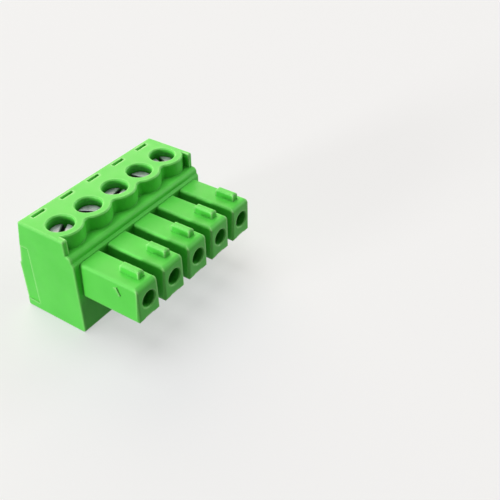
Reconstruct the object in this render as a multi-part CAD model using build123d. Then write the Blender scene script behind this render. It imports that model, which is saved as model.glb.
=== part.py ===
from build123d import *

import os

# A pluggable screw terminal plug with rising-cage clamps, for a row of wires.
# Frame: the origin is at the middle of the base, +X runs along the row, the noses face -Y, the wires
# enter from +Y and the screws are turned from +Z. Every length is in millimetres.

# The row
WAYS = 5
PITCH = 3.81
END_MARGIN = 2.155  # outer way's axis to the end face

# Body, seen from its end
BODY_HEIGHT = 11.1
BODY_DEPTH = 8.05  # rear wall to lower front face
REAR_WALL_HEIGHT = 5.6  # upright part of the rear, which holds the wire entries
REAR_STEP = 0.2  # shelf above it, in from the rear wall
REAR_STEP_RISE = 0.25
TOP_REAR_SETBACK = 1.2  # rear wall to the top's rear edge: the face between them leans
UPPER_SETBACK = 0.85  # lower front face to the upper end walls' front
LEDGE_DROP = 1.65  # top to ledge
LIP_HEIGHT = 0.65  # upright front of the ledge
LIP_SETBACK = 0.2  # lower front face to the front of the ledge
LIP_SLOPE = 0.3  # height of the slope between the two
EDGE_ROUND = 0.18
FRONT_LOW_ROUND = 0.4  # along the bottom of the lower front face
LEDGE_ROUND = 0.5

# Scalloped wall between the upper end walls
END_WALL = 0.56
SCALLOP_WALL = 0.9  # material round each screw well
SCALLOP_VALLEY = 1.55  # well's axis to the bottom of the valleys
VALLEY_ROUND = 0.45
CREST_CHAMFER = 0.12  # along the top of the scalloped wall

# Screw wells and marker slots in the top
WELL_SETBACK = 3.25  # lower front face to the wells' axes
WELL_RADIUS = 1.35
WELL_RIM = 0.12
SHANK_HOLE_RADIUS = 1.05
MARKER_SETBACK = 0.45  # top's rear edge to the slots
MARKER_WIDTH = 1.65
MARKER_BREADTH = 0.4
MARKER_DEPTHS = (0.35, 0.75)  # left end, right end: the floor slopes

# Shallow step down each end face, at the rear
STRIP_DEPTH = 0.12
STRIP_BREADTH = 1.78  # from the rear wall
STRIP_LOW = 0.95
STRIP_HEIGHT = 7.1

# Noses
NOSE_LENGTH = 7.05
NOSE_BASE = 4.3  # height of the noses' undersides
NOSE_HEIGHT = 4.1
NOSE_TOP_WIDTH = 2.7
NOSE_BOTTOM_WIDTH = 3.08
NOSE_TIP_ROUND = 0.5  # top of the tip
NOSE_TIP_LOW_ROUND = 0.35  # bottom of the tip
NOSE_FRONT_ROUNDS = (0.4, 0.2)  # upright edges of the tip: left, right
NOSE_TOP_ROUNDS = (0.3, 0.2)  # left, right
NOSE_BOTTOM_ROUNDS = (0.5, 0.25)
CHANNEL_WIDTH = 1.7  # along the underside of each nose
CHANNEL_DEPTH = 0.3
NOSE_ROOT = 0.3  # how far a nose runs into the body's front wall
RIB_TOP_WIDTH = 0.7
RIB_FOOT_WIDTH = 0.86
RIB_LENGTH = 2.3
RIB_HEIGHT = 0.75
RIB_OFFSET = 0.43  # way's axis to the rib's
RIB_SETBACK = 0.95  # tip to the rib's front
RIB_TOP_ROUND = 0.2  # along its top edges
RIB_END_ROUND = 0.26  # across the top of its ends
RIB_SINK = 0.24  # how far a rib runs into its nose
CATCH_LENGTH = 0.6
CATCH_HEIGHT = 0.95
CATCH_PROUD = 0.15
CATCH_SETBACK = 2.5  # tip to the catch's middle
CATCH_RISE = 2.95  # nose's underside to the catch's middle
CATCH_TILT = 26  # degrees that its steep side leans

# Sockets in the noses
SOCKET_RISE = 2.15  # nose's underside to the sockets' axis
SOCKET_OFFSET = 0.15  # way's axis to the socket's
SOCKET_RADIUS = 0.87
SOCKET_WALL = 1.2
SOCKET_CHAMFER = 0.1
CAVITY_WIDTH = 1.8
CAVITY_HEIGHT = 2.4

# Wire chambers
FLOOR = 0.6
CHAMBER_WIDTH = 2.96
CHAMBER_FRONT_WALL = 1.55
ENTRY_HEIGHT = 4.6
ENTRY_LENGTH = 1.6  # rear wall to the taller part of the chamber
FUNNEL = 0.3
FUNNEL_DEPTH = 0.55

# Clamp cages
CAGE_CLEARANCE = 0.05
CAGE_SIDE = 0.4
CAGE_DEPTH = 3.1
CAGE_FLOOR = 0.6
CAGE_NUT = 1.05  # threaded top plate
CAGE_ROUND = 0.3
WIRE_SPACE = 2.2
CLAMP_GAP = 0.2  # left under the bar when the cage is right up
NUT_GAP = 0.15  # bar to the top plate when the cage is down
ROOF_GAP = 0.2  # top plate to the chamber's roof when the cage is right up
THREAD_CLEARANCE = 0.03
GROOVES = 3
GROOVE_PITCH = 0.8
GROOVE_DEPTH = 0.12

# Contacts
BAR_THICKNESS = 0.5
BAR_CLEARANCE = 0.1  # to the cage's sides
BAR_SETBACK = 1.9  # rear wall to the bar's end
RISER_THICKNESS = 0.4
RISER_CLEARANCE = 0.06
LEAF_THICKNESS = 0.25
LEAF_HEIGHT = 1.6
LEAF_CLEARANCE = 0.05
LEAF_PINCH = 0.33  # half the gap between the leaves where they grip
LEAF_PINCH_SETBACK = 1.5  # socket's inner end to the grip
LEAF_STRAIGHT = 1.2
LEAF_TIP_GAP = 0.4  # socket's inner end to the leaves' tips
LEAF_BEND = 0.8
BAR_BEND = 0.2

# Screws
SCREW_RADIUS = 0.97
HEAD_CLEARANCE = 0.1  # to the well's wall
HEAD_HEIGHT = 1.3
HEAD_DROP = 0.9  # top of the body to the top of the heads
HEAD_CHAMFER = 0.15
SEAT_GAP = 0.02
TIP_GAP = 0.05  # screw's tip to the bar
TIP_CHAMFER = 0.25
SLOT_WIDTH = 0.45
SLOT_DEPTH = 0.6
SLOT_TURNS = (30, 120, 9, 99, 67)  # degrees from +X at which the slots happen to stand

# Worked out from the above
WAY_X = [PITCH * (way - (WAYS - 1) / 2) for way in range(WAYS)]
BODY_LENGTH = PITCH * (WAYS - 1) + 2 * END_MARGIN
REAR_Y = (BODY_DEPTH + NOSE_LENGTH) / 2
FRONT_Y = REAR_Y - BODY_DEPTH
TIP_Y = FRONT_Y - NOSE_LENGTH
TOP_REAR_Y = REAR_Y - TOP_REAR_SETBACK
UPPER_FRONT_Y = FRONT_Y + UPPER_SETBACK
LEDGE_Z = BODY_HEIGHT - LEDGE_DROP
WELL_Y = FRONT_Y + WELL_SETBACK
CHAMBER_FRONT_Y = FRONT_Y + CHAMBER_FRONT_WALL
NOSE_TOP = NOSE_BASE + NOSE_HEIGHT
SOCKET_Z = NOSE_BASE + SOCKET_RISE
SOCKET_INNER_Y = TIP_Y + SOCKET_WALL
CAGE_BASE_Z = FLOOR + CAGE_CLEARANCE
CAGE_WIDTH = CHAMBER_WIDTH - 2 * CAGE_CLEARANCE
CAGE_OPENING = WIRE_SPACE + BAR_THICKNESS + NUT_GAP
CAGE_HEIGHT = CAGE_FLOOR + CAGE_OPENING + CAGE_NUT
CAGE_TRAVEL = WIRE_SPACE - CLAMP_GAP
ROOF_Z = CAGE_BASE_Z + CAGE_HEIGHT + CAGE_TRAVEL + ROOF_GAP
BAR_Z = CAGE_BASE_Z + CAGE_FLOOR + WIRE_SPACE
BAR_WIDTH = CAGE_WIDTH - 2 * CAGE_SIDE - 2 * BAR_CLEARANCE
HEAD_TOP_Z = BODY_HEIGHT - HEAD_DROP
SEAT_Z = HEAD_TOP_Z - HEAD_HEIGHT - SEAT_GAP


def rounded_polygon(corners):
    """A face through (x, y, radius) corners in order, each one rounded to its radius."""
    outline = make_face(Polyline(*[(x, y) for x, y, _ in corners], close=True))
    for x, y, radius in corners:
        if radius:
            corner = outline.vertices().sort_by_distance(Vector(x, y))[0]
            outline = fillet(corner, radius)
    return outline


def along_x(outline, width):
    """A YZ outline as a solid, centred on x = 0."""
    return extrude(Plane.YZ * outline, width / 2, both=True)


def bar(section, side):
    """What an XZ and a YZ outline have in common, each given by its corners and their radii."""
    front_y = min(y for y, _, _ in side)
    rear_y = max(y for y, _, _ in side)
    width = 2 * max(abs(x) for x, _, _ in section)
    run = extrude(Plane.XZ.offset(-rear_y) * rounded_polygon(section), rear_y - front_y)
    return run & along_x(rounded_polygon(side), width)


def body_block():
    """The body without its holes: the end view run along the row, with the end faces' edges rounded."""
    lip_y = FRONT_Y + LIP_SETBACK
    lip_z = LEDGE_Z - LIP_HEIGHT
    block = along_x(
        rounded_polygon(
            [
                (REAR_Y, 0, EDGE_ROUND),
                (REAR_Y, REAR_WALL_HEIGHT, 0),
                (REAR_Y - REAR_STEP, REAR_WALL_HEIGHT + REAR_STEP_RISE, 0),
                (TOP_REAR_Y, BODY_HEIGHT, EDGE_ROUND),
                (UPPER_FRONT_Y, BODY_HEIGHT, EDGE_ROUND),
                (UPPER_FRONT_Y, LEDGE_Z, 0),
                (lip_y, LEDGE_Z, LEDGE_ROUND),
                (lip_y, lip_z, 0),
                (FRONT_Y, lip_z - LIP_SLOPE, 0),
                (FRONT_Y, 0, FRONT_LOW_ROUND),
            ]
        ),
        BODY_LENGTH,
    )
    ends = block.faces().sort_by(Axis.X)
    return fillet(ends[0].edges() + ends[-1].edges(), EDGE_ROUND)


def scalloped_wall():
    """The wall round the fronts of the screw wells: rounds joined by valleys, with a chamfered top edge."""
    half = BODY_LENGTH / 2 - END_WALL
    valley_y = WELL_Y - SCALLOP_VALLEY
    outline = Pos(0, (valley_y + WELL_Y) / 2) * Rectangle(2 * half, SCALLOP_VALLEY)
    outline += [Pos(x, WELL_Y) * Circle(WELL_RADIUS + SCALLOP_WALL) for x in WAY_X]
    outline &= Pos(0, WELL_Y - PITCH / 2) * Rectangle(2 * half, PITCH)
    valleys = [v for v in outline.vertices() if abs(v.Y - valley_y) < 0.001 and abs(v.X) < half - 0.01]
    outline = fillet(valleys, VALLEY_ROUND)
    wall = extrude(Pos(0, 0, LEDGE_Z) * outline, LEDGE_DROP)
    crest = [
        edge
        for edge in wall.faces().sort_by(Axis.Z)[-1].edges()
        if edge.center().Y < WELL_Y - 0.001 and abs(edge.center().X) < half - 0.001
    ]
    return chamfer(crest, CREST_CHAMFER)


def body():
    """The body with the ledge cut down between its end walls, and the scalloped wall behind the ledge."""
    front_y = FRONT_Y - 1
    cut = Pos(0, (front_y + WELL_Y) / 2, LEDGE_Z + LEDGE_DROP / 2) * Box(
        BODY_LENGTH - 2 * END_WALL, WELL_Y - front_y, LEDGE_DROP
    )
    return body_block() - cut + scalloped_wall()


def nose():
    """One nose at x = 0, with the channel along its underside."""
    root_y = FRONT_Y + NOSE_ROOT
    top = NOSE_TOP_WIDTH / 2
    base = NOSE_BOTTOM_WIDTH / 2
    channel = CHANNEL_WIDTH / 2
    section = [
        (-base, NOSE_BASE, NOSE_BOTTOM_ROUNDS[0]),
        (-channel, NOSE_BASE, 0),
        (CHANNEL_DEPTH - channel, NOSE_BASE + CHANNEL_DEPTH, 0),
        (channel - CHANNEL_DEPTH, NOSE_BASE + CHANNEL_DEPTH, 0),
        (channel, NOSE_BASE, 0),
        (base, NOSE_BASE, NOSE_BOTTOM_ROUNDS[1]),
        (top, NOSE_TOP, NOSE_TOP_ROUNDS[1]),
        (-top, NOSE_TOP, NOSE_TOP_ROUNDS[0]),
    ]
    side = [
        (TIP_Y, NOSE_BASE, NOSE_TIP_LOW_ROUND),
        (root_y, NOSE_BASE, 0),
        (root_y, NOSE_TOP, 0),
        (TIP_Y, NOSE_TOP, NOSE_TIP_ROUND),
    ]
    plan = [
        (-base, TIP_Y, NOSE_FRONT_ROUNDS[0]),
        (base, TIP_Y, NOSE_FRONT_ROUNDS[1]),
        (base, root_y, 0),
        (-base, root_y, 0),
    ]
    return bar(section, side) & extrude(Pos(0, 0, NOSE_BASE) * rounded_polygon(plan), NOSE_HEIGHT)


def coding_rib():
    """The rounded rib along the top of a nose at x = 0."""
    top = RIB_TOP_WIDTH / 2
    foot = RIB_FOOT_WIDTH / 2
    low_z = NOSE_TOP - RIB_SINK
    high_z = NOSE_TOP + RIB_HEIGHT
    front_y = TIP_Y + RIB_SETBACK
    rear_y = front_y + RIB_LENGTH
    section = [
        (-foot, low_z, 0),
        (foot, low_z, 0),
        (foot, NOSE_TOP, 0),
        (top, high_z, RIB_TOP_ROUND),
        (-top, high_z, RIB_TOP_ROUND),
        (-foot, NOSE_TOP, 0),
    ]
    side = [
        (front_y, low_z, 0),
        (rear_y, low_z, 0),
        (rear_y, high_z, RIB_END_ROUND),
        (front_y, high_z, RIB_END_ROUND),
    ]
    return Pos(RIB_OFFSET, 0, 0) * bar(section, side)


def catch(side):
    """The low wedge on the outer flank of an end nose, on the side of the row given by -1 or 1."""
    lean = (NOSE_BOTTOM_WIDTH - NOSE_TOP_WIDTH) / 2 / NOSE_HEIGHT
    flank = NOSE_BOTTOM_WIDTH / 2 - CATCH_RISE * lean
    outline = make_face(
        Polyline(
            (-CATCH_PROUD, CATCH_LENGTH / 2),
            (0, CATCH_LENGTH / 2),
            (CATCH_PROUD, -CATCH_LENGTH / 2),
            (-CATCH_PROUD, -CATCH_LENGTH / 2),
            close=True,
        )
    )
    wedge = Rotation(-CATCH_TILT, 0, 0) * extrude(outline, CATCH_HEIGHT / 2, both=True)
    wedge = Pos(flank, TIP_Y + CATCH_SETBACK, NOSE_BASE + CATCH_RISE) * wedge
    if side < 0:
        wedge = mirror(wedge, Plane.YZ)
    return Pos(side * PITCH * (WAYS - 1) / 2, 0, 0) * wedge


def way_cuts():
    """All that is cut out of the housing for the way at x = 0."""
    well_depth = BODY_HEIGHT - SEAT_Z
    well = Pos(0, WELL_Y, SEAT_Z + well_depth / 2) * Cylinder(WELL_RADIUS, well_depth)
    rim = Pos(0, WELL_Y, BODY_HEIGHT - WELL_RIM / 2) * Cone(WELL_RADIUS, WELL_RADIUS + WELL_RIM, WELL_RIM)
    shank_length = SEAT_Z - ROOF_Z
    shank = Pos(0, WELL_Y, ROOF_Z + shank_length / 2) * Cylinder(SHANK_HOLE_RADIUS, shank_length)
    marker_outline = make_face(
        Polyline(
            (-MARKER_WIDTH / 2, BODY_HEIGHT),
            (-MARKER_WIDTH / 2, BODY_HEIGHT - MARKER_DEPTHS[0]),
            (MARKER_WIDTH / 2, BODY_HEIGHT - MARKER_DEPTHS[1]),
            (MARKER_WIDTH / 2, BODY_HEIGHT),
            close=True,
        )
    )
    marker_rear_y = TOP_REAR_Y - MARKER_SETBACK
    marker = extrude(Plane.XZ.offset(-marker_rear_y) * marker_outline, MARKER_BREADTH)

    entry_top = FLOOR + ENTRY_HEIGHT
    chamber_rear_y = REAR_Y - ENTRY_LENGTH
    chamber = along_x(
        make_face(
            Polyline(
                (REAR_Y, FLOOR),
                (CHAMBER_FRONT_Y, FLOOR),
                (CHAMBER_FRONT_Y, ROOF_Z),
                (chamber_rear_y, ROOF_Z),
                (chamber_rear_y, entry_top),
                (REAR_Y, entry_top),
                close=True,
            )
        ),
        CHAMBER_WIDTH,
    )
    mouth = Plane.XZ.offset(-REAR_Y) * Pos(0, FLOOR + ENTRY_HEIGHT / 2)
    throat = Plane.XZ.offset(FUNNEL_DEPTH - REAR_Y) * Pos(0, FLOOR + ENTRY_HEIGHT / 2)
    funnel = loft(
        [
            mouth * Rectangle(CHAMBER_WIDTH + 2 * FUNNEL, ENTRY_HEIGHT + 2 * FUNNEL),
            throat * Rectangle(CHAMBER_WIDTH, ENTRY_HEIGHT),
        ]
    )

    riser_low = BAR_Z - RISER_CLEARANCE
    cavity_top = SOCKET_Z + CAVITY_HEIGHT / 2
    riser_depth = RISER_THICKNESS + 2 * RISER_CLEARANCE
    riser = Pos(0, CHAMBER_FRONT_Y - riser_depth / 2, (riser_low + cavity_top) / 2) * Box(
        BAR_WIDTH + 2 * RISER_CLEARANCE, riser_depth, cavity_top - riser_low
    )
    cavity_length = CHAMBER_FRONT_Y - SOCKET_INNER_Y
    cavity = Pos(SOCKET_OFFSET, SOCKET_INNER_Y + cavity_length / 2, SOCKET_Z) * Box(
        CAVITY_WIDTH, cavity_length, CAVITY_HEIGHT
    )
    tip = Pos(SOCKET_OFFSET, TIP_Y, SOCKET_Z) * Rotation(90, 0, 0)
    socket = tip * Pos(0, 0, -SOCKET_WALL / 2) * Cylinder(SOCKET_RADIUS, SOCKET_WALL)
    lead_in = tip * Pos(0, 0, -SOCKET_CHAMFER / 2) * Cone(
        SOCKET_RADIUS, SOCKET_RADIUS + SOCKET_CHAMFER, SOCKET_CHAMFER
    )
    return [well, rim, shank, marker, chamber, funnel, riser, cavity, socket, lead_in]


def end_strip(side):
    """The shallow step at the rear of the end face, on the side of the row given by -1 or 1."""
    return Pos(
        side * BODY_LENGTH / 2, REAR_Y - STRIP_BREADTH / 2, STRIP_LOW + STRIP_HEIGHT / 2
    ) * Box(2 * STRIP_DEPTH, STRIP_BREADTH, STRIP_HEIGHT)


def housing():
    """The moulded housing."""
    solid = body()
    solid += [Pos(x, 0, 0) * (nose() + coding_rib()) for x in WAY_X]
    solid += [catch(-1), catch(1)]
    solid -= [end_strip(-1), end_strip(1)]
    solid -= [Pos(x, 0, 0) * cut for x in WAY_X for cut in way_cuts()]
    return solid


def cage():
    """A clamp cage at x = 0, down and open: a ring round the wire and the bar, with a threaded top."""
    outer = RectangleRounded(CAGE_WIDTH, CAGE_HEIGHT, CAGE_ROUND)
    opening = Rectangle(CAGE_WIDTH - 2 * CAGE_SIDE, CAGE_OPENING)
    low = CAGE_FLOOR + CAGE_OPENING / 2 - CAGE_HEIGHT / 2
    ring = extrude(Plane.XZ * (outer - Pos(0, low) * opening), CAGE_DEPTH / 2, both=True)
    ring = Pos(0, WELL_Y, CAGE_BASE_Z + CAGE_HEIGHT / 2) * ring
    nut_top = CAGE_BASE_Z + CAGE_HEIGHT
    ring -= Pos(0, WELL_Y, nut_top - CAGE_NUT / 2) * Cylinder(SCREW_RADIUS + THREAD_CLEARANCE, CAGE_NUT)
    groove = along_x(
        make_face(
            Polyline(
                (-GROOVE_DEPTH, 0), (0, -GROOVE_DEPTH), (GROOVE_DEPTH, 0), (0, GROOVE_DEPTH), close=True
            )
        ),
        CAGE_WIDTH - 2 * CAGE_SIDE,
    )
    for row in range(GROOVES):
        groove_y = WELL_Y + GROOVE_PITCH * (row - (GROOVES - 1) / 2)
        ring -= Pos(0, groove_y, CAGE_BASE_Z + CAGE_FLOOR) * groove
    return ring


def contact():
    """A contact at x = 0: the bar through the cage, the riser, and two leaves that pinch the pin."""
    riser_front_y = CHAMBER_FRONT_Y - RISER_CLEARANCE - RISER_THICKNESS
    riser_rear_y = riser_front_y + RISER_THICKNESS
    leaf_top = SOCKET_Z + LEAF_HEIGHT / 2
    bar_top = BAR_Z + BAR_THICKNESS
    blade = along_x(
        rounded_polygon(
            [
                (REAR_Y - BAR_SETBACK, BAR_Z, 0),
                (riser_front_y, BAR_Z, BAR_BEND),
                (riser_front_y, leaf_top, 0),
                (riser_rear_y, leaf_top, 0),
                (riser_rear_y, bar_top, BAR_BEND / 2),
                (REAR_Y - BAR_SETBACK, bar_top, 0),
            ]
        ),
        BAR_WIDTH,
    )
    root = CAVITY_WIDTH / 2 - LEAF_CLEARANCE - LEAF_THICKNESS
    pinch_y = SOCKET_INNER_Y + LEAF_PINCH_SETBACK
    tip_y = SOCKET_INNER_Y + LEAF_TIP_GAP
    bend_y = riser_front_y - LEAF_STRAIGHT
    inner = [
        (root, riser_rear_y, 0),
        (root, bend_y, LEAF_BEND),
        (LEAF_PINCH, pinch_y, LEAF_BEND),
        (root, tip_y, 0),
    ]
    outer = [(x + LEAF_THICKNESS, y, radius) for x, y, radius in reversed(inner)]
    leaf = extrude(Pos(0, 0, SOCKET_Z) * rounded_polygon(inner + outer), LEAF_HEIGHT / 2, both=True)
    return blade + Pos(SOCKET_OFFSET, 0, 0) * (leaf + mirror(leaf, Plane.YZ))


def screw(turn):
    """A slotted clamp screw at x = 0, with its slot turned by the given degrees."""
    head_radius = WELL_RADIUS - HEAD_CLEARANCE
    seat_z = HEAD_TOP_Z - HEAD_HEIGHT
    tip_z = BAR_Z + BAR_THICKNESS + TIP_GAP
    half = make_face(
        Polyline(
            (0, tip_z),
            (SCREW_RADIUS - TIP_CHAMFER, tip_z),
            (SCREW_RADIUS, tip_z + TIP_CHAMFER),
            (SCREW_RADIUS, seat_z),
            (head_radius, seat_z),
            (head_radius, HEAD_TOP_Z - HEAD_CHAMFER),
            (head_radius - HEAD_CHAMFER, HEAD_TOP_Z),
            (0, HEAD_TOP_Z),
            close=True,
        )
    )
    solid = revolve(Plane.XZ * half, Axis.Z)
    slot = Box(2 * WELL_RADIUS, SLOT_WIDTH, SLOT_DEPTH)
    solid -= Pos(0, 0, HEAD_TOP_Z - SLOT_DEPTH / 2) * Rotation(0, 0, turn) * slot
    return Pos(0, WELL_Y, 0) * solid


def write(solid, node):
    """Write one node's solid to its own file."""
    export_step(solid, f"parts/{node}.step")


os.makedirs("parts", exist_ok=True)
write(housing(), "housing")
for way, x in enumerate(WAY_X):
    write(Pos(x, 0, 0) * screw(SLOT_TURNS[way % len(SLOT_TURNS)]), f"screw_{way + 1}")
    write(Pos(x, 0, 0) * cage(), f"cage_{way + 1}")
    write(Pos(x, 0, 0) * contact(), f"contact_{way + 1}")
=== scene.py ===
import math

import bmesh
import bpy
import numpy as np
from mathutils import Matrix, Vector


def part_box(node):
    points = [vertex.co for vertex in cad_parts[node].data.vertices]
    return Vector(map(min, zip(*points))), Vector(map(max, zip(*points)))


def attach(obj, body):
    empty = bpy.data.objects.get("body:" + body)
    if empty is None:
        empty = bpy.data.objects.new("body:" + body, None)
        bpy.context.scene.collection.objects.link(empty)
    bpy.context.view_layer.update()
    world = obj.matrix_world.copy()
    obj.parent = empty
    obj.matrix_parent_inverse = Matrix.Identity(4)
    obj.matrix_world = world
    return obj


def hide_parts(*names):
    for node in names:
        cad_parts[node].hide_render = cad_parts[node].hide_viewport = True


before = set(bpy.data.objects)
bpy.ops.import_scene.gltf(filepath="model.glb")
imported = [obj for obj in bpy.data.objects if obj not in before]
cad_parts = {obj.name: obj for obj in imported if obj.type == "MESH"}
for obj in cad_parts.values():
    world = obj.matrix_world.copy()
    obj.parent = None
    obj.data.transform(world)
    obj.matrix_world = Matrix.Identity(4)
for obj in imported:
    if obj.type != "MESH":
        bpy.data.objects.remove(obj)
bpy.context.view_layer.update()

# A pluggable screw terminal plug: a green moulding with clamp screws in five wells.
# Small lengths are written in millimetres and multiplied by MM, because the frame is in metres.
MM = 0.001

# Camera, as fitted to the photograph
PICTURE_WIDTH = 500  # pixels
FOCAL_LENGTH = 718.49  # pixels
SENSOR_WIDTH = 36.0  # millimetres
CAMERA_AZIMUTH = -56.474  # degrees
CAMERA_ELEVATION = 38.010
CAMERA_ROLL = 0.027
CAMERA_PLACE = (-43.801, -42.840, 51.110)  # millimetres
NEAREST_SEEN = 1 * MM
FARTHEST_SEEN = 20.0  # metres

# Studio, in metres
WHITE = (1.0, 1.0, 1.0, 1.0)
ROOM_STRENGTH = 0.01
FLOOR_HALF_WIDTH = 1.5
FLOOR_GLOW = 0.5  # share of the floor's look that no shadow falls on
LAMP_DISTANCE = 2.2
LAMPS = (  # name, direction from the plug, share of full light, width, colour
    ("overhead", (-0.05, 0.32, 0.95), 0.69, 1.8, "#FFFFFF"),
    ("back", (0.5, 0.75, 0.43), 0.5, 1.6, "#FFEED6"),
    ("left", (-0.93, 0.3, 0.14), 0.73, 0.5, "#FFFFFF"),
    ("front", (0.84, -0.43, 0.33), 0.4, 1.2, "#FFFFFF"),
    ("glint", (-0.52, -0.34, 0.78), 0.05, 0.3, "#FFFFFF"),
)

# Nodes
NOISE_RANGE = (0.3, 0.7)  # where most of a noise's values lie
SHADER_SAMPLES = 8
# A mix node has inputs for each kind of value: these are its share and its two colours.
MIX_COLOUR_INPUTS = (0, 6, 7)
MIX_COLOUR_OUTPUT = 2

# Moulded polyamide
HOUSING_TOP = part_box("housing")[1][2]
FLOW_SIZE = 3.5 * MM
PATCH_SIZE = 0.9 * MM
GRAIN_SIZE = 0.09 * MM  # three times as coarse as the real grain, to show
GRAIN_DEPTH = 0.006 * MM
EDGE_ROUND = 0.09 * MM
# Painted highlights: the moulding's thin outer edges are painted paler
EDGE_HIGHLIGHT_REACH = 0.3 * MM  # how far the painted edge highlight looks for thin places inside the plastic
EDGE_HIGHLIGHT_RANGE = (0.95, 0.6)  # openness on the inside, from the faces to the thinnest edges
EDGE_HIGHLIGHT_SHARE = 0.75
# Painted shade: the moulding's deep recesses are painted darker
RECESS_SHADE_REACH = 4.0 * MM
RECESS_SHADE_RANGE = (0.75, 0.3)  # openness, from the open faces to the deep recesses
RECESS_SHADE_SHARE = 0.68
RECESS_SHADE_HEIGHTS = (HOUSING_TOP - 0.35 * MM, HOUSING_TOP - 0.6 * MM)  # painted shade begins, and is full

# Plated steel and bronze
DULL_SIZE = 0.5 * MM
RING_SPACING = 0.06 * MM
MOTTLE_SIZE = 0.7 * MM
ROLLING_SIZE = 0.08 * MM
ROLLING_STRETCH = 0.08
MARK_DEPTH = 0.004 * MM

# Screws
(SCREW_LEFT, SCREW_FRONT, SCREW_LOW), (SCREW_RIGHT, SCREW_REAR, SCREW_TOP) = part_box("screw_1")
WELL_Y = (SCREW_FRONT + SCREW_REAR) / 2
HEAD_RADIUS = (SCREW_RIGHT - SCREW_LEFT) / 2
HEAD_HEIGHT = 1.3 * MM
HEAD_SEAT = SCREW_TOP - HEAD_HEIGHT
HEAD_EDGE = 0.14 * MM  # rounding of the head's rim
SLOT_WIDTH = 0.45 * MM
SLOT_DEPTH = 0.6 * MM
SLOT_BREAK = 0.07 * MM  # broken edge along the slot
SLOT_TURNS = (30, 120, 9, 99, 67)  # degrees from +X, one for each way
DARKENED_HEIGHTS = (SCREW_TOP - 0.1 * MM, SCREW_TOP - 0.3 * MM)  # darkening begins, and is full
DARKENED_SHARE = 0.9
SHANK_RADIUS = 0.97 * MM
NECK_LENGTH = 0.5 * MM
THREAD_START = HEAD_SEAT - NECK_LENGTH
THREAD_PITCH = 0.4 * MM
THREAD_DEPTH = 0.2 * MM
TIP_CHAMFER = 0.25 * MM

# Screws' meshes
CHORDS = 22  # from the head's middle to its rim, the first few replaced by the slot's own
CHORD_POINTS = 41
THREAD_STATIONS = 60
SMOOTH_ANGLE = 40  # degrees
DOUBLES_APART = 0.0005 * MM
SLIVERS_ACROSS = 0.0001 * MM
TURNED_LAYER = "turned"


def linear(code):
    """A colour written as sRGB hex, as linear red, green, blue and alpha."""
    parts = [int(code[place : place + 2], 16) / 255 for place in (1, 3, 5)]
    return tuple(c / 12.92 if c <= 0.04045 else ((c + 0.055) / 1.055) ** 2.4 for c in parts) + (1.0,)


def in_scene(name, data):
    """An object of its data, put in the scene."""
    thing = bpy.data.objects.new(name, data)
    bpy.context.scene.collection.objects.link(thing)
    return thing


def add(tree, kind, settings, **links):
    """A node with its settings, by property or by input, and its links, by input."""
    node = tree.nodes.new(kind)
    for key, value in settings.items():
        if hasattr(node, key):
            setattr(node, key, value)
        else:
            node.inputs[key].default_value = value
    for key, socket in links.items():
        tree.links.new(socket, node.inputs[key])
    return node


def emptied_tree(owner):
    """The node tree of a material or a world, without its first nodes."""
    owner.use_nodes = True
    owner.node_tree.nodes.clear()
    return owner.node_tree


def new_material(name):
    """A node material, its tree and its surface shader."""
    material = bpy.data.materials.new(name)
    tree = emptied_tree(material)
    surface = tree.nodes.new("ShaderNodeBsdfPrincipled")
    add(tree, "ShaderNodeOutputMaterial", {}, Surface=surface.outputs[0])
    return material, tree, surface


def object_place(tree):
    """Where a point lies on its object, in metres."""
    return tree.nodes.new("ShaderNodeTexCoord").outputs["Object"]


def height_of(tree, place):
    """A place's height."""
    return add(tree, "ShaderNodeSeparateXYZ", {}, Vector=place).outputs["Z"]


def noise(tree, place, size, detail):
    """A noise with features of a size."""
    settings = {"Scale": 1 / size, "Detail": detail}
    return add(tree, "ShaderNodeTexNoise", settings, Vector=place).outputs["Fac"]


def openness(tree, reach, inside):
    """How free of surfaces a point's surroundings are within a reach, outside the object or inside it."""
    settings = {"samples": SHADER_SAMPLES, "inside": inside, "only_local": True, "Distance": reach}
    return add(tree, "ShaderNodeAmbientOcclusion", settings).outputs["AO"]


def spread(tree, source, start_end, low_high):
    """A value that goes from low to high while its source goes from start to end."""
    start, end = start_end
    low, high = low_high
    settings = {"From Min": start, "From Max": end, "To Min": low, "To Max": high}
    return add(tree, "ShaderNodeMapRange", settings, Value=source).outputs["Result"]


def worked_out(tree, operation, first, second):
    """The result of an operation on two values."""
    node = add(tree, "ShaderNodeMath", {"operation": operation})
    tree.links.new(first, node.inputs[0])
    tree.links.new(second, node.inputs[1])
    return node.outputs[0]


def tinted(tree, source, codes, places=(0.0, 1.0)):
    """A colour between two, written as sRGB hex, by a value."""
    ramp = add(tree, "ShaderNodeValToRGB", {}, Fac=source)
    for element, code, place in zip(ramp.color_ramp.elements, codes, places):
        element.position = place
        element.color = linear(code)
    return ramp.outputs["Color"]


def toward(tree, share, colour, code):
    """A colour taken toward another, written as sRGB hex, by a share."""
    mix = add(tree, "ShaderNodeMix", {"data_type": "RGBA"})
    share_input, first, second = (mix.inputs[place] for place in MIX_COLOUR_INPUTS)
    tree.links.new(share, share_input)
    tree.links.new(colour, first)
    second.default_value = linear(code)
    return mix.outputs[MIX_COLOUR_OUTPUT]


def coat(tree, surface, colour, roughness):
    """A surface shader takes a colour and a roughness."""
    tree.links.new(colour, surface.inputs["Base Color"])
    tree.links.new(roughness, surface.inputs["Roughness"])


def mark(tree, surface, height, strength, depth, **normal):
    """A surface shader takes fine marks by their height, over another node's normal if one is given."""
    bump = add(tree, "ShaderNodeBump", {"Strength": strength, "Distance": depth}, Height=height, **normal)
    tree.links.new(bump.outputs["Normal"], surface.inputs["Normal"])


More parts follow.
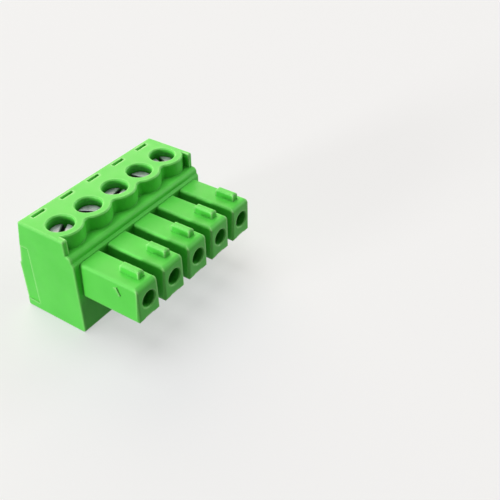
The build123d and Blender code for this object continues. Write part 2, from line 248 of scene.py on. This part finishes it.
def polyamide_colour(tree, place):
    """Green with a faint cloudiness where it flowed, a painted highlight that makes thin edges pale, and
    painted shade that makes the recesses a deeper green.
    """
    flow = noise(tree, place, FLOW_SIZE, detail=3.0)
    cloud = tinted(tree, flow, ("#59D949", "#62E151"), NOISE_RANGE)
    # painted highlight: the thin outer edges are painted paler than the faces, as if their rounding caught
    # the light
    painted_edge_highlight = spread(tree, openness(tree, EDGE_HIGHLIGHT_REACH, inside=True), EDGE_HIGHLIGHT_RANGE, (0.0, EDGE_HIGHLIGHT_SHARE))
    with_edge_highlights = toward(tree, painted_edge_highlight, cloud, "#B2FB9C")
    # painted shade: the deep recesses are painted darker than the open faces
    openness_for_shade = openness(tree, RECESS_SHADE_REACH, inside=False)
    painted_recess_shade = spread(tree, openness_for_shade, RECESS_SHADE_RANGE, (0.0, RECESS_SHADE_SHARE))
    # the painted shade starts only under the top face, so the shallow marker slots stay nearly as light as
    # the top face that they are in
    below_shade_start = spread(tree, height_of(tree, place), RECESS_SHADE_HEIGHTS, (0.0, 1.0))
    return toward(tree, worked_out(tree, "MULTIPLY", painted_recess_shade, below_shade_start), with_edge_highlights, "#218A20")


def moulded_polyamide():
    """Green polyamide from a spark-eroded mould: satin, with a fine grain and duller patches."""
    material, tree, surface = new_material("green_moulded_polyamide")
    place = object_place(tree)
    patches = noise(tree, place, PATCH_SIZE, detail=4.0)
    satin = spread(tree, patches, NOISE_RANGE, (0.34, 0.46))
    coat(tree, surface, polyamide_colour(tree, place), satin)
    grain = noise(tree, place, GRAIN_SIZE, detail=2.0)
    # the moulding's edges are broken all round by the mould's own rounding
    edges = add(tree, "ShaderNodeBevel", {"samples": SHADER_SAMPLES, "Radius": EDGE_ROUND})
    mark(tree, surface, grain, strength=0.35, depth=GRAIN_DEPTH, Normal=edges.outputs["Normal"])
    surface.inputs["IOR"].default_value = 1.5
    surface.inputs["Specular IOR Level"].default_value = 0.28
    return material


def zinc_plated_steel():
    """Zinc on turned steel: satin cool grey, with rings left by the lathe, dulled here and there."""
    material, tree, surface = new_material("zinc_plated_steel")
    place = object_place(tree)
    dull = noise(tree, place, DULL_SIZE, detail=4.0)
    grey = tinted(tree, dull, ("#8A8E91", "#ABAFB0"))
    # all that lies under the head's top, the milled slot and the thread, is made darker
    darkened_under_top = spread(tree, height_of(tree, place), DARKENED_HEIGHTS, (0.0, DARKENED_SHARE))
    satin = spread(tree, dull, NOISE_RANGE, (0.38, 0.5))
    coat(tree, surface, toward(tree, darkened_under_top, grey, "#34383A"), satin)
    turned = add(tree, "ShaderNodeUVMap", {"uv_map": TURNED_LAYER})
    along = add(tree, "ShaderNodeSeparateXYZ", {}, Vector=turned.outputs["UV"]).outputs["Y"]
    ring_settings = {"noise_dimensions": "1D", "Scale": MM / RING_SPACING, "Detail": 2.0}
    rings = add(tree, "ShaderNodeTexNoise", ring_settings, W=along)
    mark(tree, surface, rings.outputs["Fac"], strength=0.35, depth=MARK_DEPTH)
    surface.inputs["Metallic"].default_value = 1.0
    return material


def plated_strip(name, codes, roughness):
    """Plated strip metal, blanked and bent: rolling marks along one way and a slight mottle."""
    material, tree, surface = new_material(name)
    place = object_place(tree)
    mottle = noise(tree, place, MOTTLE_SIZE, detail=4.0)
    coat(tree, surface, tinted(tree, mottle, codes), spread(tree, mottle, NOISE_RANGE, roughness))
    stretched = add(tree, "ShaderNodeMapping", {"Scale": (1.0, ROLLING_STRETCH, 1.0)}, Vector=place)
    rolled = noise(tree, stretched.outputs["Vector"], ROLLING_SIZE, detail=3.0)
    mark(tree, surface, rolled, strength=0.4, depth=MARK_DEPTH)
    surface.inputs["Metallic"].default_value = 1.0
    return material


def place_camera():
    """The camera where the photograph was taken from."""
    data = bpy.data.cameras.new("camera")
    data.sensor_width = SENSOR_WIDTH
    data.lens = FOCAL_LENGTH / PICTURE_WIDTH * SENSOR_WIDTH
    data.clip_start = NEAREST_SEEN
    data.clip_end = FARTHEST_SEEN
    camera = in_scene("camera", data)
    place = Matrix.Translation([length * MM for length in CAMERA_PLACE])
    turn = Matrix.Rotation(math.radians(CAMERA_AZIMUTH), 4, "Z")
    tilt = Matrix.Rotation(math.radians(90 - CAMERA_ELEVATION), 4, "X")
    roll = Matrix.Rotation(math.radians(CAMERA_ROLL), 4, "Z")
    camera.matrix_world = place @ turn @ tilt @ roll
    bpy.context.scene.camera = camera


def soft_lamp(name, direction, share, width, colour):
    """A square lamp that gives a surface facing it that share of full light, from a direction."""
    data = bpy.data.lights.new(name, "AREA")
    data.color = linear(colour)[:3]
    data.size = width
    # a square lamp's light on a small target facing it, with full light being pi W per square metre
    data.energy = share * math.pi**2 * LAMP_DISTANCE**2
    lamp = in_scene(name, data)
    lamp.location = LAMP_DISTANCE * np.array(direction) / np.linalg.norm(direction)
    lamp.rotation_euler = (-lamp.location).to_track_quat("-Z", "Y").to_euler()


def shown_as_background(tree):
    """One for the rays that show the background: the camera's, and those that metal and glass send on."""
    path = tree.nodes.new("ShaderNodeLightPath")
    seen = path.outputs["Is Camera Ray"]
    for name in ("Is Glossy Ray", "Is Transmission Ray"):
        seen = worked_out(tree, "MAXIMUM", seen, path.outputs[name])
    return seen


def mixed(tree, first, second, settings, **links):
    """Two shaders mixed, with the second's share as Fac in the settings or the links."""
    mix = add(tree, "ShaderNodeMixShader", settings, **links)
    tree.links.new(first.outputs[0], mix.inputs[1])
    tree.links.new(second.outputs[0], mix.inputs[2])
    return mix


def light_the_room():
    """An even, nearly dark room, which shows as white."""
    world = bpy.data.worlds.new("room")
    bpy.context.scene.world = world
    tree = emptied_tree(world)
    even = add(tree, "ShaderNodeBackground", {"Color": WHITE, "Strength": ROOM_STRENGTH})
    white = add(tree, "ShaderNodeBackground", {"Color": WHITE, "Strength": 1.0})
    room = mixed(tree, even, white, {}, Fac=shown_as_background(tree))
    add(tree, "ShaderNodeOutputWorld", {}, Surface=room.outputs[0])


def white_floor():
    """A white floor that keeps the shadow, and gives the object less light from below than it shows."""
    material = bpy.data.materials.new("white_floor")
    tree = emptied_tree(material)
    grey = add(tree, "ShaderNodeBsdfDiffuse", {"Color": linear("#828282")})
    pale = add(tree, "ShaderNodeBsdfDiffuse", {"Color": linear("#E6E6E6")})
    glow = add(tree, "ShaderNodeEmission", {"Color": WHITE, "Strength": 1.0})
    shown = mixed(tree, pale, glow, {"Fac": FLOOR_GLOW})
    floor = mixed(tree, grey, shown, {}, Fac=shown_as_background(tree))
    add(tree, "ShaderNodeOutputMaterial", {}, Surface=floor.outputs[0])
    return material


def lay_floor():
    """A square floor under the object."""
    half = FLOOR_HALF_WIDTH
    corners = [(-half, -half, 0), (half, -half, 0), (half, half, 0), (-half, half, 0)]
    mesh = bpy.data.meshes.new("floor")
    mesh.from_pydata(corners, [], [(0, 1, 2, 3)])
    mesh.materials.append(white_floor())
    floor = in_scene("floor", mesh)


def grid_faces(rows, columns, closed):
    """The quads of a grid of points, row by row, closed round the columns or open."""
    steps = columns if closed else columns - 1
    row, column = np.meshgrid(np.arange(rows - 1), np.arange(steps), indexing="ij")
    here = row * columns + column
    beside = row * columns + (column + 1) % columns
    return np.stack([here, beside, beside + columns, here + columns], axis=-1).reshape(-1, 4)


def finished_mesh(name, points, faces, turned, material):
    """A mesh object from points, quads and each point's place on the lathe, with its doubles merged."""
    mesh = bpy.data.meshes.new(name)
    mesh.from_pydata(points.tolist(), [], faces.tolist())
    layer = mesh.uv_layers.new(name=TURNED_LAYER)
    corners = np.empty(len(mesh.loops), dtype=np.int32)
    mesh.loops.foreach_get("vertex_index", corners)
    layer.data.foreach_set("uv", turned[corners].astype(np.float32).ravel())
    edit = bmesh.new()
    edit.from_mesh(mesh)
    bmesh.ops.remove_doubles(edit, verts=edit.verts, dist=DOUBLES_APART)
    bmesh.ops.dissolve_degenerate(edit, edges=edit.edges, dist=SLIVERS_ACROSS)
    bmesh.ops.recalc_face_normals(edit, faces=edit.faces)
    edit.to_mesh(mesh)
    edit.free()
    mesh.shade_smooth()
    mesh.set_sharp_from_angle(angle=math.radians(SMOOTH_ANGLE))
    mesh.materials.append(material)
    return in_scene(name, mesh)


def chord_stations():
    """How far from the slot's middle line the head's chords lie, and how deep the slot is there.

    The chords are spaced evenly by angle round the rim, with a close set at the slot's walls and its
    broken edges.
    """
    half = SLOT_WIDTH / 2
    around = HEAD_RADIUS * np.sin(np.linspace(0, math.pi / 2, CHORDS))
    outside = around[around > half + 2 * SLOT_BREAK]
    across = np.concatenate([[0.0, half, half, half + SLOT_BREAK], outside])
    depth = np.concatenate([[SLOT_DEPTH, SLOT_DEPTH, SLOT_BREAK, 0.0], np.zeros(len(outside))])
    mirrored = np.concatenate([-across[:0:-1], across])
    return mirrored, np.concatenate([depth[:0:-1], depth])


def head_top():
    """The head's top: a grid of points on chords parallel to the slot, and their distances from the axis.

    The height is the head's own, less the rim's rounding or the slot's depth, whichever is more. The
    rounding is a quarter circle over the last HEAD_EDGE of the radius.
    """
    across, depth = chord_stations()
    reach = np.sqrt(np.maximum(HEAD_RADIUS**2 - across**2, 0))
    along = reach[:, None] * np.sin(np.linspace(-math.pi / 2, math.pi / 2, CHORD_POINTS))
    radius = np.minimum(np.hypot(along, across[:, None]), HEAD_RADIUS)
    past = np.maximum(radius - (HEAD_RADIUS - HEAD_EDGE), 0)
    rounding = HEAD_EDGE - np.sqrt(HEAD_EDGE**2 - past**2)
    height = SCREW_TOP - np.maximum(rounding, depth[:, None])
    return np.stack([along, np.broadcast_to(across[:, None], along.shape), height], axis=-1), radius


def turned_profile():
    """The heights and radii of the screw's profile, from the slot's floor down to the middle of the tip."""
    thread = np.linspace(THREAD_START, SCREW_LOW + TIP_CHAMFER, THREAD_STATIONS)[1:]
    above = [SCREW_TOP - SLOT_DEPTH, HEAD_SEAT, HEAD_SEAT, THREAD_START]
    heights = np.concatenate([above, thread, [SCREW_LOW, SCREW_LOW]])
    radii = np.full(len(heights), SHANK_RADIUS)
    radii[:2] = HEAD_RADIUS
    radii[-2:] = (SHANK_RADIUS - TIP_CHAMFER, 0.0)
    return heights, radii


def turned_body(rim):
    """The screw under its top, as rings of points, and each point's place on the lathe.

    The profile is turned about the axis, at the angles of the rim's points. The thread is cut as deep as
    a triangle wave of z / pitch - angle / turn, which makes it right-handed. A place on the lathe is the
    angle as a share of a turn, and the way along the profile from the middle of the head.
    """
    heights, radii = turned_profile()
    angle = np.arctan2(rim[:, 1], rim[:, 0])
    phase = heights[:, None] / THREAD_PITCH - angle / (2 * math.pi)
    wave = np.abs(2 * (phase - np.floor(phase)) - 1)
    threaded = (heights < THREAD_START) & (heights > SCREW_LOW + TIP_CHAMFER / 2)
    radius = radii[:, None] - THREAD_DEPTH * np.where(threaded[:, None], wave, 0.0)
    height = np.broadcast_to(heights[:, None], radius.shape)
    rings = np.stack([radius * np.cos(angle), radius * np.sin(angle), height], axis=-1)
    steps = np.hypot(np.diff(radii), np.diff(heights))
    travel = HEAD_RADIUS + np.concatenate([[0.0, HEAD_EDGE], HEAD_EDGE + np.cumsum(steps)])
    turned = np.stack(np.broadcast_arrays(angle / (2 * math.pi), travel[:, None]), axis=-1)
    return np.concatenate([rim[None], rings]), turned


def screw_surface():
    """A clamp screw with its slot along X: points, quads and each point's place on the lathe."""
    top, radius = head_top()
    # round the rim: up the right-hand ends of the chords, then down the left-hand ends
    rim = np.concatenate([top[:, -1], top[::-1, 0]])
    body, body_turned = turned_body(rim)
    points = np.concatenate([top.reshape(-1, 3), body.reshape(-1, 3)])
    top_faces = grid_faces(*radius.shape, closed=False)
    body_faces = grid_faces(*body.shape[:2], closed=True) + radius.size
    top_turned = np.stack([np.zeros(radius.size), radius.ravel()], axis=-1)
    turned = np.concatenate([top_turned, body_turned.reshape(-1, 2)])
    turned[:, 1] /= MM
    return points, np.concatenate([top_faces, body_faces]), turned


def fit_clamp_screw(number, slot_turn, material):
    """The screw of a way, with its slot turned, in the place of the plain one."""
    points, faces, turned = screw_surface()
    cosine, sine = math.cos(math.radians(slot_turn)), math.sin(math.radians(slot_turn))
    low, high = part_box(f"screw_{number}")
    well = np.array([(low[0] + high[0]) / 2, WELL_Y, 0])
    points = points @ np.array([[cosine, sine, 0], [-sine, cosine, 0], [0, 0, 1]]) + well
    clamp_screw = finished_mesh(f"clamp_screw_{number}", points, faces, turned, material)
    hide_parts(f"screw_{number}")
    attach(clamp_screw, f"screw_{number}")


def wear(node, material):
    """A CAD node keeps its shape and takes a material."""
    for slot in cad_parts[node].material_slots:
        slot.link = "OBJECT"
        slot.material = material


place_camera()
light_the_room()
for lamp in LAMPS:
    soft_lamp(*lamp)
lay_floor()

wear("housing", moulded_polyamide())
zinc = zinc_plated_steel()
# warm grey, brighter than the contacts
nickel = plated_strip("nickel_plated_steel", ("#B4B0A8", "#CFCBC2"), roughness=(0.24, 0.38))
# neutral grey and duller
tin = plated_strip("tin_plated_bronze", ("#AEB0AE", "#C9CAC6"), roughness=(0.32, 0.46))
for number, slot_turn in enumerate(SLOT_TURNS, start=1):
    wear(f"cage_{number}", nickel)
    wear(f"contact_{number}", tin)
    fit_clamp_screw(number, slot_turn, zinc)

bpy.context.scene.view_settings.view_transform = "Standard"
